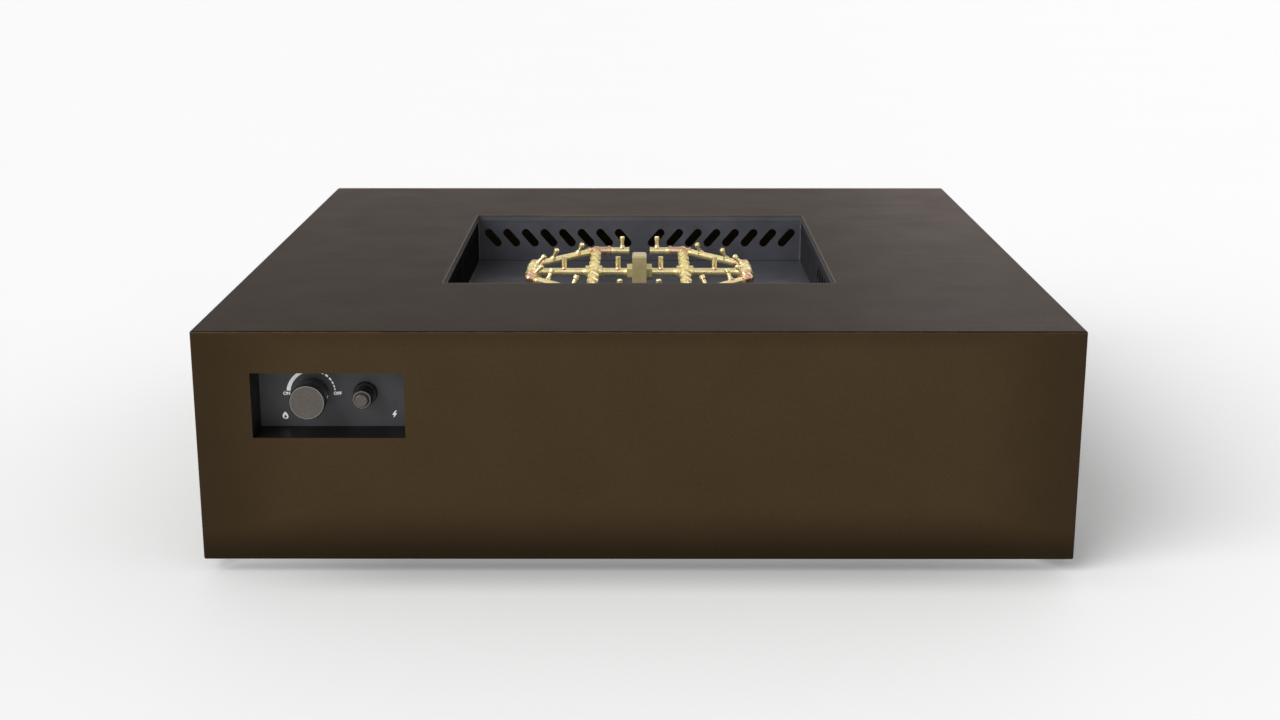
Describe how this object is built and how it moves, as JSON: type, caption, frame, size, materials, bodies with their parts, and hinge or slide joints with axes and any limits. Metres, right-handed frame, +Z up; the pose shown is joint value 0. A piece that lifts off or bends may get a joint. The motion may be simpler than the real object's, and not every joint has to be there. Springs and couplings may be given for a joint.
{
  "type": "gas fire table",
  "caption": "Low square gas fire table: folded metal shell, slotted fire bay with a brass pipe burner, and a front control recess with a turning knob and igniter button.",
  "frame": {"origin": "middle of the square footprint, on the floor under the feet", "axes": "+Z up; -Y is the front with the control recess; +X is to the right as seen from the front"},
  "size_m": [1.2192, 1.2192, 0.349],
  "materials": {
    "bronze_shell": "satin metallic bronze powder coat",
    "frame_paint": "black primer on mild steel",
    "bay_grey": "fine-textured grey high-temperature coat",
    "recess_black": "satin black",
    "plate_grey": "fine-textured dark grey with white printed dial",
    "knob_black": "satin black, fluted",
    "control_face": "bead-blasted, brown-grey anodised",
    "zinc_steel": "zinc plated",
    "brass": "machined, lightly oiled",
    "copper_brass": "copper-rich, satin",
    "valve_alloy": "die cast",
    "foot_plastic": "glass-filled nylon pad on a threaded stem",
    "hose_yellow": "polymer-coated corrugated gas connector",
    "lead_red": "silicone high-tension lead",
    "ceramic_white": "glazed alumina with a metal tip",
    "battery_sleeve": "printed-sleeve cell, plain"
  },
  "bodies": {
    "table": {"air_mixer": "zinc_steel", "back_panel": "bronze_shell", "base_rails": "frame_paint", "battery": "battery_sleeve", "bay_floor": "bay_grey", "branch_pipes": "brass", "burner_hose": "hose_yellow", "burner_hub": "brass", "button_spring": "zinc_steel", "control_plate": "plate_grey", "corner_brackets": "frame_paint", "corner_elbows": "copper_brass", "couplings": "brass", "crosses": "brass", "diagonal_pipes": "brass", "end_caps": "brass", "end_pipes": "brass", "end_tees": "brass", "foot_nuts": "zinc_steel", "front_panel": "bronze_shell", "hose_nuts": "brass", "hub_collars": "brass", "hub_nut": "brass", "igniter_barrel": "knob_black", "igniter_cap": "knob_black", "igniter_nut": "zinc_steel", "inlet_bracket": "frame_paint", "inlet_fitting": "brass", "jets": "brass", "left_panel": "bronze_shell", "liner_back": "bay_grey", "liner_front": "bay_grey", "liner_left": "bay_grey", "liner_right": "bay_grey", "opening_frame": "bay_grey", "orifice_fitting": "brass", "outer_elbows": "copper_brass", "panel_screws": "zinc_steel", "pilot_bracket": "zinc_steel", "recess_box": "recess_black", "right_panel": "bronze_shell", "spark_electrode": "ceramic_white", "spark_lead": "lead_red", "spine_pipes": "brass", "stem_spring": "zinc_steel", "supply_hose": "hose_yellow", "thermocouple": "copper_brass", "top_panel": "bronze_shell", "valve_body": "valve_alloy", "valve_bonnet": "valve_alloy"},
    "thrust_collar": {"stem_collar": "zinc_steel"},
    "knob": {"knob": "knob_black", "knob_cap": "control_face", "valve_stem": "zinc_steel"},
    "plug": {"valve_plug": "brass"},
    "igniter_button": {"igniter_button": "control_face"},
    "foot_front_left": {"foot_front_left": "foot_plastic"},
    "foot_front_right": {"foot_front_right": "foot_plastic"},
    "foot_back_left": {"foot_back_left": "foot_plastic"},
    "foot_back_right": {"foot_back_right": "foot_plastic"}
  },
  "joints": [
    {"name": "knob_push", "type": "slide", "parent": "table", "child": "thrust_collar", "axis": [0, 1, 0], "range_m": [0, 0.003], "stiffness_N_per_m": 700, "springref_m": -0.008, "deforming": ["stem_spring"]},
    {"name": "knob_turn", "type": "hinge", "parent": "thrust_collar", "child": "knob", "pos_m": [-0.456, -0.55, 0.2465], "axis": [0, -1, 0], "range_deg": [0, 180]},
    {"name": "plug_turn", "type": "hinge", "parent": "table", "child": "plug", "pos_m": [-0.456, -0.513, 0.2465], "axis": [0, -1, 0], "range_deg": [0, 180]},
    {"name": "igniter_press", "type": "slide", "parent": "table", "child": "igniter_button", "axis": [0, 1, 0], "range_m": [0, 0.004], "stiffness_N_per_m": 500, "springref_m": -0.008, "deforming": ["button_spring"]},
    {"name": "foot_front_left_level", "type": "slide", "parent": "table", "child": "foot_front_left", "axis": [0, 0, -1], "range_m": [0, 0.015]},
    {"name": "foot_front_right_level", "type": "slide", "parent": "table", "child": "foot_front_right", "axis": [0, 0, -1], "range_m": [0, 0.015]},
    {"name": "foot_back_left_level", "type": "slide", "parent": "table", "child": "foot_back_left", "axis": [0, 0, -1], "range_m": [0, 0.015]},
    {"name": "foot_back_right_level", "type": "slide", "parent": "table", "child": "foot_back_right", "axis": [0, 0, -1], "range_m": [0, 0.015]}
  ],
  "couplings": [
    {"joint": "plug_turn", "follows": "knob_turn", "ratio": 1}
  ]
}
